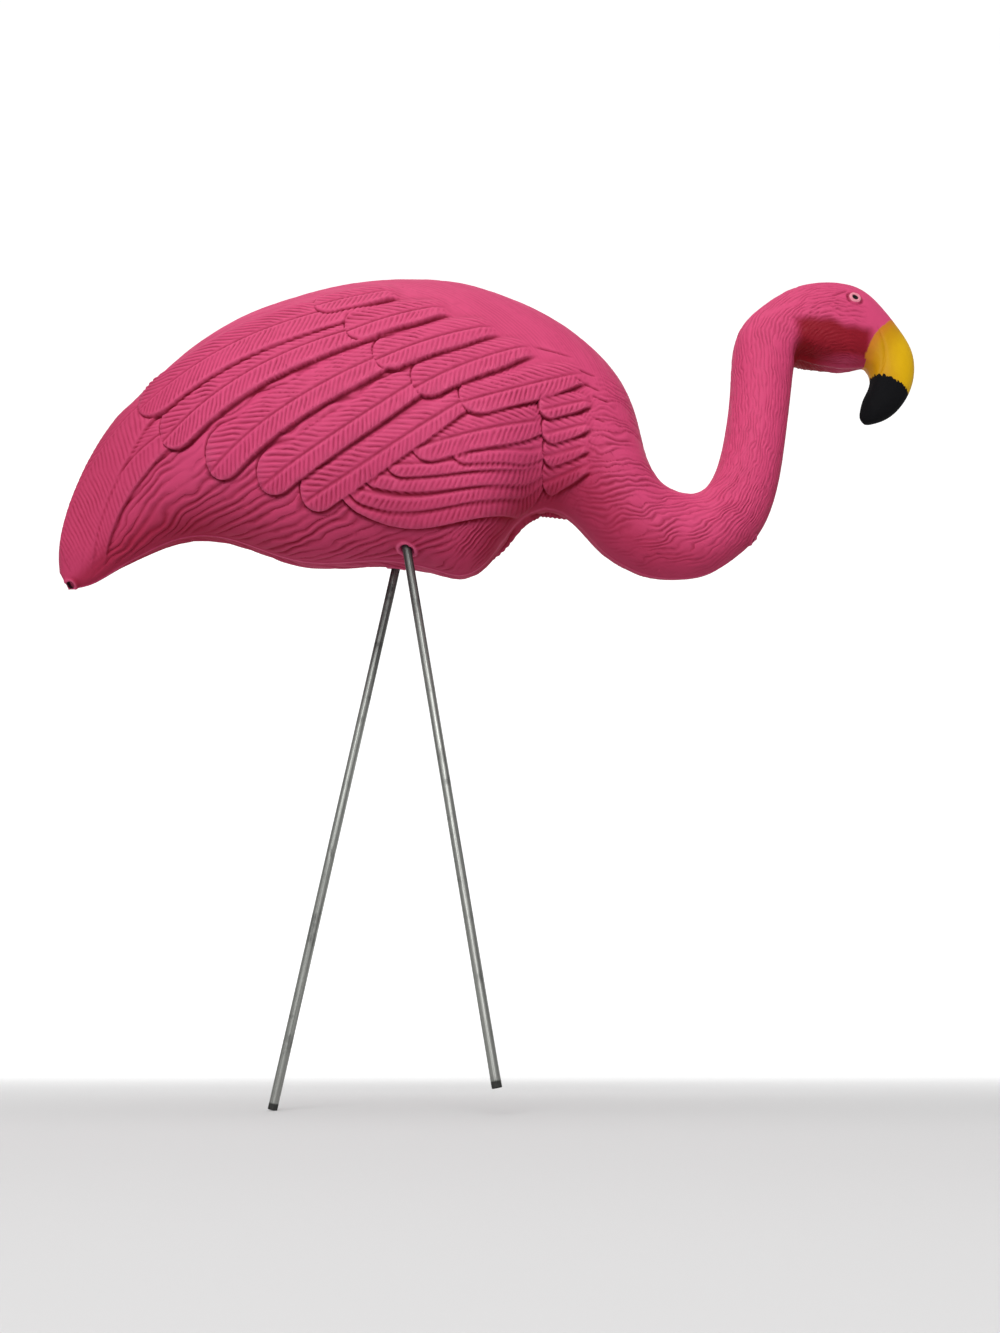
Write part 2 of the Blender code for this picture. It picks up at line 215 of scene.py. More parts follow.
class BirdShape(bpy.types.PropertyGroup):
    """Sizes of the carving, in thousandths of the bird's length, and how fine the mesh is."""

    grid_step: FloatProperty(name="Grid step", description="Spacing of the carved grid", default=1.12,
                             min=0.6)
    girth_count: IntProperty(name="Points around", description="Points round half a section", default=440)
    triangles: IntProperty(name="Triangles", description="Triangles kept of the carved grid",
                           default=190000)
    wing_proud: FloatProperty(name="Wing proud", description="How far the wing stands off", default=1.6)
    feather_step: FloatProperty(name="Feather step", description="Step at a feather's edge", default=4.0)
    upper_vane: FloatProperty(name="Upper vane", default=1.3,
                              description="Width of the vane above the midrib to the lower one's")
    upper_slant: FloatProperty(name="Upper slant", description="Angle of the barbs above the midrib",
                               subtype="ANGLE", default=radians(36))
    lower_slant: FloatProperty(name="Lower slant", description="Angle of the barbs below the midrib",
                               subtype="ANGLE", default=radians(52))
    barb_pitch: FloatProperty(name="Barb pitch", description="Distance between two barbs", default=5.4)
    barb_depth: FloatProperty(name="Barb depth", description="Depth of the groove between barbs",
                              default=1.4)
    fur_depth: FloatProperty(name="Stroke depth", description="Depth of the strokes off the wing",
                             default=2.4)
    seam_height: FloatProperty(name="Seam height", description="Height of the mould's parting line",
                               default=0.9)
    rim_height: FloatProperty(name="Rim height", description="Height of the rim round a leg hole",
                              default=2.9)


class BirdPaint(bpy.types.PropertyGroup):
    """Colours of the plastic, of the painted beak and eye, and of the shade painted in grooves, hollows and
    vents and under the bird.
    """

    pink: FloatVectorProperty(name="Pink", description="Plastic", subtype="COLOR",
                              default=(0.575, 0.056, 0.158))
    # The groove colour is shade painted into the carved grooves
    groove: FloatVectorProperty(name="Groove", description="Plastic in the grooves", subtype="COLOR",
                                default=(0.16, 0.002, 0.017))
    crest: FloatVectorProperty(name="Crest", description="Rubbed ridges", subtype="COLOR",
                               default=(0.66, 0.105, 0.225))
    # The shade colour is painted shade: in the throat's hollow, under the belly, breast and tail, and in
    # the notch
    shade: FloatVectorProperty(name="Shade", description="Plastic under the throat, tail and belly",
                               subtype="COLOR", default=(0.215, 0.003, 0.009))
    # The hole colour is the shade painted inside the vents
    hole: FloatVectorProperty(name="Hole", description="Inside of the vents", subtype="COLOR",
                              default=(0.012, 0.001, 0.003))
    yellow: FloatVectorProperty(name="Yellow", description="Beak", subtype="COLOR",
                                default=(0.50, 0.245, 0.002))
    bright_yellow: FloatVectorProperty(name="Bright yellow", description="Front of the beak",
                                       subtype="COLOR", default=(0.66, 0.39, 0.002))
    orange: FloatVectorProperty(name="Orange", description="The yellow's thin edge", subtype="COLOR",
                                default=(0.52, 0.13, 0.02))
    # The beak groove colour is shade painted into the beak's grooves
    beak_groove: FloatVectorProperty(name="Beak groove", description="Grooves of the beak", subtype="COLOR",
                                     default=(0.30, 0.10, 0.004))
    black: FloatVectorProperty(name="Black", description="Beak tip and pupil", subtype="COLOR",
                               default=(0.003, 0.003, 0.004))
    eye_ring: FloatVectorProperty(name="Eye ring", description="Pale ring round the eye", subtype="COLOR",
                                  default=(0.70, 0.24, 0.31))


class RodFinish(bpy.types.PropertyGroup):
    """Size and finish of the steel rods."""

    diameter: FloatProperty(name="Diameter", description="Rod diameter", subtype="DISTANCE", unit="LENGTH",
                            default=0.00635)
    play: FloatProperty(name="Play", description="Gap between rod and bore", subtype="DISTANCE",
                        unit="LENGTH", default=0.0003)
    steel: FloatVectorProperty(name="Steel", description="Drawn steel", subtype="COLOR",
                               default=(0.40, 0.41, 0.385))
    dark: FloatVectorProperty(name="Dark steel", description="Streaks and dull places", subtype="COLOR",
                              default=(0.055, 0.055, 0.055))
    cut_end: FloatVectorProperty(name="Cut end", description="The foot's dirty end", subtype="COLOR",
                                 default=(0.006, 0.006, 0.005))


class Studio(bpy.types.PropertyGroup):
    """The camera's place, the strength of the lights and the greys of the floor."""

    distance: FloatProperty(name="Distance", description="Camera to the bird's mid-plane", unit="LENGTH",
                            default=0.80)
    across: FloatProperty(name="Across", description="Camera's place along X", unit="LENGTH",
                          default=0.0753)
    height: FloatProperty(name="Height", description="Camera above the floor", unit="LENGTH",
                          default=0.0337)
    pitch: FloatProperty(name="Pitch", description="Camera's upward tilt", subtype="ANGLE",
                         default=radians(18))
    focal_pixels: FloatProperty(name="Focal length", description="In pixels of the photograph",
                                default=1200)
    key: FloatProperty(name="Key light", description="Power of the overhead softbox", default=15.0)
    fill: FloatProperty(name="Fill light", description="Power of the front softbox", default=61.0)
    world: FloatProperty(name="World", description="Strength of the even light all round", default=0.35)
    floor: FloatProperty(name="Floor", description="Grey of the floor near the camera", default=0.64)
    glow: FloatProperty(name="Glow", description="Glow of the floor far from the camera", default=0.72)


def smooth_step(value):
    """0 below 0, 1 above 1, with a smooth cubic rise between."""
    value = np.clip(value, 0, 1)
    return value * value * (3 - 2 * value)


def window(value, start, rise, end, fall):
    """0 up to start, 1 from start plus rise to end less fall, and 0 after end, with smooth flanks."""
    return smooth_step((value - start) / rise) * smooth_step((end - value) / fall)


def spline(values, where):
    """Natural cubic spline through values at whole-number knots, read at the places in where."""
    count = len(values)
    system = np.eye(count)
    right = np.zeros((count, values.shape[1]))
    inner = np.arange(1, count - 1)
    system[inner, inner - 1] = system[inner, inner + 1] = 1
    system[inner, inner] = 4
    right[inner] = 6 * (values[inner - 1] - 2 * values[inner] + values[inner + 1])
    bend = np.linalg.solve(system, right)
    low = np.clip(np.floor(where).astype(int), 0, count - 2)
    after = (where - low)[:, None]
    before = 1 - after
    return (before * values[low] + after * values[low + 1]
            + ((before ** 3 - before) * bend[low] + (after ** 3 - after) * bend[low + 1]) / 6)


def lattice_noise(u, v, seed):
    """Value noise from -1 to 1: a fixed pseudo-random number on each whole-number corner of the
    plane, blended across each cell by the smooth cubic rise."""
    cell_u, cell_v = np.floor(u), np.floor(v)
    blend_u, blend_v = smooth_step(u - cell_u), smooth_step(v - cell_v)

    def corner(step_u, step_v):
        angle = (cell_u + step_u) * 12.9898 + (cell_v + step_v) * 78.233 + seed * 37.719
        value = np.sin(angle) * 43758.5453
        return value - np.floor(value)

    low = corner(0, 0) * (1 - blend_u) + corner(1, 0) * blend_u
    high = corner(0, 1) * (1 - blend_u) + corner(1, 1) * blend_u
    return 2 * (low * (1 - blend_v) + high * blend_v) - 1


def even_knots(step):
    """Places along the stations that are a step apart on the longer of the upper and lower line."""
    fine = np.linspace(0, len(STATIONS) - 1, 4000)
    at = spline(STATIONS, fine)
    runs = np.stack([np.hypot(*np.diff(at[:, 0:2], axis=0).T), np.hypot(*np.diff(at[:, 2:4], axis=0).T)])
    travelled = np.concatenate([[0], np.cumsum(runs.max(axis=0))])
    count = int(travelled[-1] / step)
    return np.interp(np.linspace(0, travelled[-1], count), travelled, fine)


def half_bird(knots, turn):
    """Points of the bird's right half: a superellipse section carried along the stations. The section's
    middle and half height come from its upper and lower point, and its half width reaches out along Y.
    The turn goes from the upper point, at 0, to the lower one, at pi."""
    at = spline(STATIONS, knots)
    upper, lower = at[:, None, 0:2], at[:, None, 2:4]
    middle, half = (upper + lower) / 2, (upper - lower) / 2
    width = np.maximum(at[:, 4], 1.0)[:, None]
    c, s = np.cos(turn)[None, :], np.sin(turn)[None, :]
    square = np.where(c >= 0, at[:, 5:6], at[:, 6:7])
    rise = np.sign(c) * np.abs(c) ** (2 / square)
    reach = np.clip(s, 0, 1) ** (2 / square)
    xz = middle + half * rise[..., None]
    return np.stack([xz[..., 0], -width * reach, xz[..., 1]], axis=-1)


def feather_frame(x, z, feather, shape):
    """Place of points on one feather: share of its length from the root, distance below its midrib,
    and width of the vane there. The midrib is the straight line from root to tip, bowed by a parabola.
    The vane above the midrib is the wider one, and tucks under the feather above."""
    root, tip, half_width, bow = feather[0:2], feather[2:4], feather[4], feather[5]
    length = np.hypot(*(tip - root))
    run = (tip - root) / length
    along = ((x - root[0]) * run[0] + (z - root[1]) * run[1]) / length
    below = -(x - root[0]) * run[1] + (z - root[1]) * run[0]
    inside = np.clip(along, 0, 1)
    below = below + 4 * bow * inside * (1 - inside)
    round_end = 1.15 * half_width / length
    end = np.clip((along - 1 + round_end) / round_end, 0, 1)
    widen = np.where(below < 0, shape.upper_vane, 1.0)
    width = half_width * widen * (0.7 + 0.3 * smooth_step(along / 0.4))
    width = width * np.sqrt(np.clip(1 - end * end, 0, 1)) * ((along >= 0) & (along <= 1))
    return along, below, width, length


def barbs(along, below, width, strength, shape, wander):
    """Barbs of one feather: ridges that leave the midrib at a slant towards the tip, with a narrow
    groove between two of them. They are the absolute cosine of the distance across them."""
    slant = np.where(below < 0, shape.upper_slant, shape.lower_slant)
    phase = along * np.sin(slant) - np.abs(below) * np.cos(slant) + 1.5 * wander
    ridge = np.abs(np.cos(pi * phase / (shape.barb_pitch * np.where(below < 0, 1.0, 0.88)))) - 0.64
    fade = smooth_step((width - np.abs(below)) / 2.5) * (1 - np.exp(-(below / 2.4) ** 2))
    depth = shape.barb_depth * np.where(below < 0, 1.25, 0.9) * strength
    return depth * ridge * fade * (0.9 + 0.35 * wander)


def lay_feathers(x, z, flank, shape):
    """Height of the feathers over the smooth bird, and how far each point is covered by them. A feather
    rises out of what lies above it, ends in a step along its lower edge and round its tip, and presses
    a groove into what lies just outside that edge. They stay on the flank, where flank is 1."""
    softness, rib_depth, rib_width = 2.2, 1.3, 1.6
    height, covered = np.zeros_like(x), np.zeros_like(x)
    for feather in FEATHERS:
        strength = TAIL_STRENGTH if feather[0] < TAIL_BEHIND else 1.0
        margin = feather[4] * shape.upper_vane + abs(feather[5]) + 6
        low = np.minimum(feather[0:2], feather[2:4]) - margin
        high = np.maximum(feather[0:2], feather[2:4]) + margin
        near = (x > low[0]) & (x < high[0]) & (z > low[1]) & (z < high[1])
        px, pz, under, keep = x[near], z[near], height[near], flank[near]
        along, below, width, length = feather_frame(px, pz, feather, shape)
        near_tip = smooth_step((along - 0.80) / 0.14)
        fade = feather[4] * 0.6 * (1 - near_tip) + softness * near_tip
        root_fade = smooth_step(along / 0.18) * keep
        cover = smooth_step((width - below) / softness) * smooth_step((width + below) / fade) * root_fade
        outside = np.where(width > 0, np.abs(below) - width, 99)
        groove = np.exp(-((outside - 1.0) / 2.0) ** 2) * root_fade * np.where(below > 0, 1, near_tip)
        across = np.clip(below / feather[4], -1, 1)
        rise = shape.wing_proud + strength * shape.feather_step * (0.25 + 0.375 * (1 + across))
        rise = rise - rib_depth * np.exp(-(below / rib_width) ** 2)
        rise = rise + 0.5 * np.exp(-((below - 3.4) / 1.6) ** 2)
        wander = lattice_noise(px / 16, pz / 16, 3)
        rise = rise + barbs(along * length, below, width, strength, shape, wander)
        height[near] = (under - (1.4 + 0.9 * near_tip) * groove * strength) * (1 - cover) + rise * cover
        covered[near] = covered[near] * (1 - cover) + cover
    return height, covered


def strokes(run, girth, pitch, slant, sway, reach, seed):
    """Wavy strokes: rounded ridges of the distance across them, which is the girth plus a slant along
    the run, swayed by slow noise. Each ridge swells and fades along its own length."""
    across = girth + slant * run + sway * lattice_noise(run / (3.2 * pitch), girth / (2.4 * pitch), seed)
    across = across + 0.5 * sway * lattice_noise(run / (1.4 * pitch), girth / (1.5 * pitch), seed + 5)
    ridge = rounded_ridge(across / pitch) - 0.5
    swell = lattice_noise(run / reach, np.round(across / pitch) * 1.7, seed + 1)
    return ridge * smooth_step(0.62 + 0.75 * swell)


def rounded_ridge(place):
    """1 on whole numbers and 0 half way between them: round ridges with narrower grooves."""
    return 0.55 * np.abs(np.cos(pi * place)) + 0.45 * (0.5 + 0.5 * np.cos(2 * pi * place))


def flow_strokes(flat, bends, pitch, sway, seed):
    """Wavy strokes over the side view laid flat: z less a curve, whose slope is blended between the
    places along x in bends, swayed by noise. Each ridge swells and fades along its own length."""
    line = np.linspace(-420, 420, 841)
    slope = np.interp(line, *np.transpose(bends))
    curve = np.concatenate([[0], np.cumsum((slope[1:] + slope[:-1]) / 2 * np.diff(line))])
    x, z = flat[..., 0], flat[..., 1]
    sway_z = sway * (lattice_noise(x / (3.2 * pitch), z / (2.4 * pitch), seed)
                     + 0.35 * lattice_noise(x / (1.2 * pitch), z / pitch, seed + 5))
    place = (z - np.interp(x, line, curve) + sway_z) / pitch
    swell = lattice_noise(x / (2.6 * pitch), np.round(place) * 1.7, seed + 1)
    return (rounded_ridge(place) - 0.5) * smooth_step(0.66 + 0.9 * swell)


def fur(row, run, girth, half_girth, flat, free, shape):
    """Strokes off the wing. They sweep down towards the tail under the wing, follow the bend over the
    breast, and are fine streaks up the neck and over the head."""
    share = girth / half_girth
    under = smooth_step((share - 0.40) / 0.12) * window(row, *BELLY_ROWS)
    breast = window(row, *BREAST_ROWS) * (0.3 + 0.7 * smooth_step(share / 0.45))
    breast = breast * (0.35 + 0.65 * smooth_step((0.92 - share) / 0.3))
    back = window(row, *BACK_ROWS) * smooth_step((0.46 - share) / 0.15)
    forward = smooth_step((flat[..., 0] - 45) / 30)
    body = (1 - forward) * flow_strokes(flat, BODY_BENDS, pitch=11.5, sway=8.0, seed=11)
    body = body + 0.8 * forward * flow_strokes(flat, FRONT_BENDS, pitch=7.0, sway=3.5, seed=15)
    height = under * body + 0.75 * breast * flow_strokes(flat, BREAST_BENDS, pitch=6.4, sway=5.0, seed=21)
    in_notch = window(row, *BARE_NOTCH_ROWS)
    height = height * smooth_step((half_girth - girth - 3 - 5 * in_notch) / (8 + 12 * in_notch))
    up_neck = strokes(run, girth, pitch=4.6, slant=0.14, sway=2.6, reach=8, seed=31)
    along_back = strokes(run, girth, pitch=5.5, slant=-0.55, sway=1.2, reach=26, seed=41)
    height = height + 0.5 * window(row, *NECK_ROWS) * up_neck + 0.25 * back * along_back
    return free * shape.fur_depth * height


def groove_line(x, z, line, half_width):
    """1 along a straight groove that fades at both its ends, and 0 away from it."""
    start, run = np.array(line[0:2]), np.array(line[2:4]) - np.array(line[0:2])
    length = np.hypot(*run)
    run = run / length
    along = (x - start[0]) * run[0] + (z - start[1]) * run[1]
    off = (x - start[0]) * run[1] - (z - start[1]) * run[0]
    return np.exp(-(off / half_width) ** 2) * window(along, -2, 0.3 * length, length + 2, 0.3 * length)


def carve_details(x, z):
    """Height of the eye's ring and pupil, the brow, the cheek's wavy grooves over a hollow throat, the
    curved groove where the bill begins and the short grooves on the breast; and how hollow it is, which
    also sets the shade painted in the throat."""
    from_eye = np.hypot(x - EYE_AT[0], z - EYE_AT[1])
    eye = 2.4 * smooth_step((8.4 - from_eye) / 2.2) - 1.7 * smooth_step((4.2 - from_eye) / 1.4)
    eye = eye - 0.8 * np.exp(-((from_eye - 9.6) / 1.2) ** 2)
    wave = 2.5 * np.sin(x / 9.0) + 1.5 * np.sin(x / 4.3 + 1)
    top = 308 - 0.16 * (x - 460) - 0.8 * wave
    hollow = smooth_step((top - z) / 11) * window(x, 452, 17, 560, 16)
    hollow = hollow * (0.5 + 0.5 * smooth_step((z - 256) / 6))
    first, pitch, count = CHEEK_GROOVES
    place = (first - z - wave) / pitch
    on_cheek = window(place, -1, 1, count, 1) * window(x, 460, 20, 552, 16)
    cheek = (1 - np.abs(np.cos(pi * place)) * on_cheek) * on_cheek
    bill = np.exp(-((x - 557 - 9 * np.sin((z - 236) / 62 * pi)) / 1.5) ** 2) * window(z, 232, 10, 300, 14)
    height = eye - 3.6 * hollow - 0.9 * cheek - 1.6 * groove_line(x, z, BROW, 1.8) - 1.3 * bill
    for dash in BREAST_DASHES:
        height = height - 1.5 * groove_line(x, z, dash, 1.5)
    return height, hollow


def blur(field, reach):
    """Mean of a grid over a square, along the rows and then around, with its edges held."""
    for axis in (0, 1):
        count = field.shape[axis]
        padding = [(0, 0), (0, 0)]
        padding[axis] = (reach + 1, reach)
        total = np.cumsum(np.pad(field, padding, mode="edge"), axis=axis)
        above = np.take(total, np.arange(2 * reach + 1, 2 * reach + 1 + count), axis=axis)
        field = (above - np.take(total, np.arange(count), axis=axis)) / (2 * reach + 1)
    return field


def rod_places(finish):
    """Foot, upward direction, length and side of each rod, from the frame's mounts and boxes."""
    mounts = {mount["name"]: mount for mount in frame["record"]["mounts"]}
    places = {}
    for node, (side, mount_name) in RODS.items():
        mount = mounts[mount_name]
        foot, up = np.array(mount["pos_m"]), -np.array(mount["axis"])
        low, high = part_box(node)
        edge = (finish.diameter / 2 - ROD_END_CHAMFER) * np.hypot(up[0], up[1])
        places[node] = (foot, up, (high[2] - low[2] - 2 * edge) / up[2], side)
    return places


def hole_rims(points, places, finish):
    """Height of the low rim round each leg hole: a bell curve of the distance from the rod's axis, on
    the part of the skin where the rod goes in."""
    rim = np.zeros(points.shape[:-1])
    ring_radius = finish.diameter / 2 + HOLE_PLAY + RIM_OUT
    for foot, up, length, _ in places.values():
        off = points - foot
        along = off @ up
        distance = np.linalg.norm(off - along[..., None] * up, axis=-1)
        entered = (along > 0.6 * length) & (along < 0.97 * length)
        rim += np.exp(-((distance - ring_radius) / RIM_WIDTH) ** 2) * entered
    return rim


def vent_mouths(scale, offset):
    """The middle of each vent's mouth, in metres."""
    return [(float(x * scale + offset[0]), VENT_SIDE, float(z * scale + offset[2])) for (x, z), _ in VENTS]


def vent_lips(points, scale, offset):
    """Height of the lip round each vent: a bell curve of the distance from the vent's mouth."""
    lip = np.zeros(points.shape[:-1])
    for mouth in vent_mouths(scale, offset):
        distance = np.linalg.norm(points - mouth, axis=-1)
        lip += np.exp(-((distance - VENT_RADIUS - VENT_LIP_OUT) / VENT_LIP_WIDTH) ** 2)
    return lip


def place_on_node(points, node):
    """Scale and offset that take points in thousandths to metres, so that the smooth bird's length and
    top fill the node's box."""
    low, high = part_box(node)
    scale = (high[0] - low[0]) / (points[..., 0].max() - points[..., 0].min())
    offset = np.array([low[0] - scale * points[..., 0].min(), 0.0, high[2] - scale * points[..., 2].max()])
    return scale, offset


def grid_faces(rings, sides):
    """Quads of a grid that is closed around, and fans to the two points that cap its ends."""
    ring, side = np.meshgrid(np.arange(rings - 1), np.arange(sides), indexing="ij")
    after = (side + 1) % sides
    quads = np.stack([ring * sides + side, ring * sides + after,
                      (ring + 1) * sides + after, (ring + 1) * sides + side], axis=-1).reshape(-1, 4)
    edge = np.arange(sides)
    ahead = (edge + 1) % sides
    last = (rings - 1) * sides
    start_fan = np.stack([np.full(sides, rings * sides), ahead, edge], axis=-1)
    end_fan = np.stack([np.full(sides, rings * sides + 1), last + edge, last + ahead], axis=-1)
    return quads, np.concatenate([start_fan, end_fan])


def put_mesh(name, vertices, quads, triangles, fields=()):
    """A mesh object at the origin from whole arrays, with float attributes on its points."""
    mesh = bpy.data.meshes.new(name)
    corners = np.concatenate([quads.ravel(), triangles.ravel()]).astype(np.int32)
    starts = np.concatenate([np.arange(len(quads)) * 4, len(quads) * 4 + np.arange(len(triangles)) * 3])
    mesh.vertices.add(len(vertices))
    mesh.vertices.foreach_set("co", vertices.astype(np.float32).ravel())
    mesh.loops.add(len(corners))
    mesh.loops.foreach_set("vertex_index", corners)
    mesh.polygons.add(len(starts))
    mesh.polygons.foreach_set("loop_start", starts.astype(np.int32))
    mesh.update(calc_edges=True)
    for field_name, values in fields:
        layer = mesh.attributes.new(field_name, "FLOAT", "POINT")
        layer.data.foreach_set("value", values.astype(np.float32))
    mesh.shade_smooth()
    piece = bpy.data.objects.new(name, mesh)
    bpy.context.scene.collection.objects.link(piece)
    return piece


def set_modifiers(piece):
    """Replace a piece's mesh with what its modifiers make of it."""
    shaped = piece.evaluated_get(bpy.context.evaluated_depsgraph_get())
    mesh = bpy.data.meshes.new_from_object(shaped)
    piece.modifiers.clear()
    piece.data = mesh
    mesh.shade_smooth()


def turned_cutter(name, profile, sides, point, direction):
    """A closed solid of revolution for a cut: radius and height pairs, turned about a direction."""
    turn = np.linspace(0, 2 * pi, sides, endpoint=False)
    radius, height = np.array(profile).T
    ring = np.stack([np.cos(turn), np.sin(turn), np.zeros(sides)], axis=-1)
    grid = radius[:, None, None] * ring + height[:, None, None] * np.array([0, 0, 1.0])
    ends = np.array([[0, 0, height[0]], [0, 0, height[-1]]])
    place = np.array(Vector(direction).to_track_quat("Z", "Y").to_matrix())
    vertices = np.concatenate([grid.reshape(-1, 3), ends]) @ place.T + np.array(point)
    return put_mesh(name, vertices, *grid_faces(len(profile), sides))


def cut(piece, cutters):
    """Cut each cutter out of a piece, then delete the cutters."""
    for cutter in cutters:
        boolean = piece.modifiers.new(cutter.name, "BOOLEAN")
        boolean.operation = "DIFFERENCE"
        boolean.solver = "EXACT"
        boolean.object = cutter
    set_modifiers(piece)
    for cutter in cutters:
        bpy.data.objects.remove(cutter, do_unlink=True)


def measure(points):
    """For a grid of the right half: the way round each section from its upper point, the whole way to
    its lower one, the way along the bird's middle line, and the outward direction."""
    steps = np.linalg.norm(np.diff(points, axis=1), axis=-1)
    girth = np.concatenate([np.zeros((len(points), 1)), np.cumsum(steps, axis=1)], axis=1)
    middle = points[:, [0, -1]].mean(axis=1)
    run = np.concatenate([[0], np.cumsum(np.linalg.norm(np.diff(middle, axis=0), axis=-1))])[:, None]
    normal = np.cross(np.gradient(points, axis=1), np.gradient(points, axis=0))
    normal[:, [0, -1], 1] = 0
    normal /= np.maximum(np.linalg.norm(normal, axis=-1, keepdims=True), 1e-9)
    return girth, girth[:, -1:], run, normal


def laid_flat(points, girth, half_girth):
    """Places in the side view when each section is straightened out in the mid-plane."""
    downwards = points[:, -1] - points[:, 0]
    span = np.linalg.norm(downwards, axis=-1, keepdims=True)
    downwards = (downwards / np.maximum(span, 1e-6))[:, None, [0, 2]]
    return points[:, :1, [0, 2]] + downwards * (girth - (half_girth - span) / 2)[..., None]


def wing_ground(x, z, row, girth, half_girth):
    """1 on the flank, where feathers lie, and 0 along the lower parting line and under the tail."""
    in_notch = window(row, *NOTCH_ROWS)
    low = smooth_step((girth - half_girth + 24 - 13 * in_notch) / (14 - 4 * in_notch))
    under_tail = smooth_step((-230 - x) / 50) * smooth_step((26 - z) / 44)
    return (1 - low * smooth_step((row - 4) / 2)) * (1 - under_tail)


def underside(x, z, row, share):
    """How much shade is painted on the skin: under the belly, breast and tail, and, by a bell curve, in the
    notch.
    """
    painted_shade = smooth_step((share - 0.66 + 0.16 * window(row, *LOW_BREAST_ROWS)) / 0.32)
    painted_shade = painted_shade * (0.55 + 0.45 * smooth_step((9 - row) / 5) + 0.15 * window(row, *FRONT_ROWS))
    from_x, from_z = x - NOTCH_AT[0], z - NOTCH_AT[1]
    up_notch = from_x * NOTCH_RISE[0] + from_z * NOTCH_RISE[1]
    off_notch = from_z * NOTCH_RISE[0] - from_x * NOTCH_RISE[1]
    painted_shade = painted_shade + 0.75 * np.exp(-(up_notch / 52) ** 2 - (off_notch / 24) ** 2)
    painted_shade = np.clip(painted_shade + 0.45 * smooth_step((-190 - x) / 170), 0, 1)
    return painted_shade * smooth_step((SHADE_END_ROW - row) / 2)


def carved_grid(shape, finish):
    """The whole bird's carved points in metres, and for each how deep it lies in a groove, how much it
    stands on a ridge, how hollow the throat is, how near the parting line or a rim is, and how much
    shade is painted on it; the groove and the throat's hollow set painted shade too. Both halves come
    from one, as from one mould."""
    coarser = 1
    step = shape.grid_step * coarser
    knots = even_knots(step)
    row = knots[:, None]
    points = half_bird(knots, np.linspace(0, pi, shape.girth_count // coarser + 1))
    scale, offset = place_on_node(points, "flamingo_body")
    girth, half_girth, run, normal = measure(points)
    x, z = points[..., 0], points[..., 2]
    edge = np.minimum(girth, half_girth - girth)
    feathers, covered = lay_feathers(x, z, wing_ground(x, z, row, girth, half_girth), shape)
    details, hollow = carve_details(x, z)
    flat = laid_flat(points, girth, half_girth)
    skin = details + fur(row, run, girth, half_girth, flat, 1 - covered, shape)
    relief = feathers * smooth_step((edge - 3 - 2 * smooth_step((9 - row) / 3)) / 20)
    relief = (relief + skin * smooth_step(edge / 7)) * window(row, 0, 0.6, len(STATIONS) - 1, 1.5)
    seam = np.exp(-(edge / 1.1) ** 2) * smooth_step((SEAM_END_ROW - row) / 1.5)
    relief = relief + shape.seam_height * seam * (1 - window(row, *NOTCH_ROWS))
    seam_paint = seam * window(row, *PALE_SEAM_ROWS) * (girth > half_girth / 2)
    # Shade painted under the belly, breast and tail and in the notch, less on the parting line
    painted_shade = underside(x, z, row, girth / half_girth) * (1 - 0.8 * seam)
    whole = mirrored(points * scale + offset, (1, -1, 1))
    rim = hole_rims(whole, rod_places(finish), finish)
    on_rim = np.clip(rim, 0, 1)
    relief = mirrored(relief) * (1 - on_rim) + shape.rim_height * rim
    relief += shape.rim_height * 0.6 * vent_lips(whole, scale, offset)
    cavity = blur(relief, max(2, int(5.5 / step))) - relief
    carved = whole + mirrored(normal, (1, -1, 1)) * relief[..., None] * scale
    fields = {
        "groove": np.clip(cavity / 1.3, 0, 1),
        "crest": np.clip(-cavity / 1.6, 0, 1),
        "hollow": mirrored(hollow),
        "seam": np.maximum(mirrored(seam_paint), on_rim),
        "painted_shade": mirrored(painted_shade),
    }
    return carved, fields, scale, offset


def mirrored(half, signs=None):
    """A grid of the right half with the left half added behind it, so that it goes all the way round."""
    other = half[:, -2:0:-1]
    return np.concatenate([half, other if signs is None else other * np.array(signs)], axis=1)


def build_bird(shape, finish):
    """The moulded bird as one closed mesh: carved grid, thinned, with its leg holes and vents cut."""
    grid, fields, scale, offset = carved_grid(shape, finish)
    caps = np.stack([grid[0].mean(axis=0), grid[-1].mean(axis=0)])
    vertices = np.concatenate([grid.reshape(-1, 3), caps])
    flat = [(name, np.concatenate([field.ravel(), [0, 0]])) for name, field in fields.items()]
    quads, fans = grid_faces(*grid.shape[:2])
    bird = put_mesh("flamingo_shell", vertices, quads, fans, flat)
    thin = bird.modifiers.new("thin", "DECIMATE")
    thin.ratio = shape.triangles / (2 * len(quads) + len(fans))
    set_modifiers(bird)
    cutters = []
    for node, (foot, up, length, _) in rod_places(finish).items():
        wide, bore = finish.diameter / 2 + HOLE_PLAY, finish.diameter / 2 + finish.play
        hit, mouth, _, _ = bird.ray_cast(Vector(foot), Vector(up))
        if not hit:
            raise ValueError("a rod misses the bird")
        depth = length - (mouth - Vector(foot)).length
        profile = ((wide * 1.02, -2 * HOLE_MOUTH_DEPTH), (wide, HOLE_MOUTH_DEPTH),
                   (bore, HOLE_MOUTH_DEPTH + HOLE_TAPER), (bore, depth + finish.play))
        cutters.append(turned_cutter(node + "_hole", profile, HOLE_SIDES, mouth, up))
    for mouth, (_, direction) in zip(vent_mouths(scale, offset), VENTS):
        inward = Vector(direction).normalized()
        profile = ((VENT_RADIUS, 0), (VENT_RADIUS * 0.9, VENT_DEPTH), (VENT_RADIUS * 0.8, 2 * VENT_DEPTH))
        start = Vector(mouth) - inward * VENT_DEPTH
        cutters.append(turned_cutter("vent_cut", profile, VENT_SIDES, start, inward))
    cut(bird, cutters)
    return bird, scale, offset


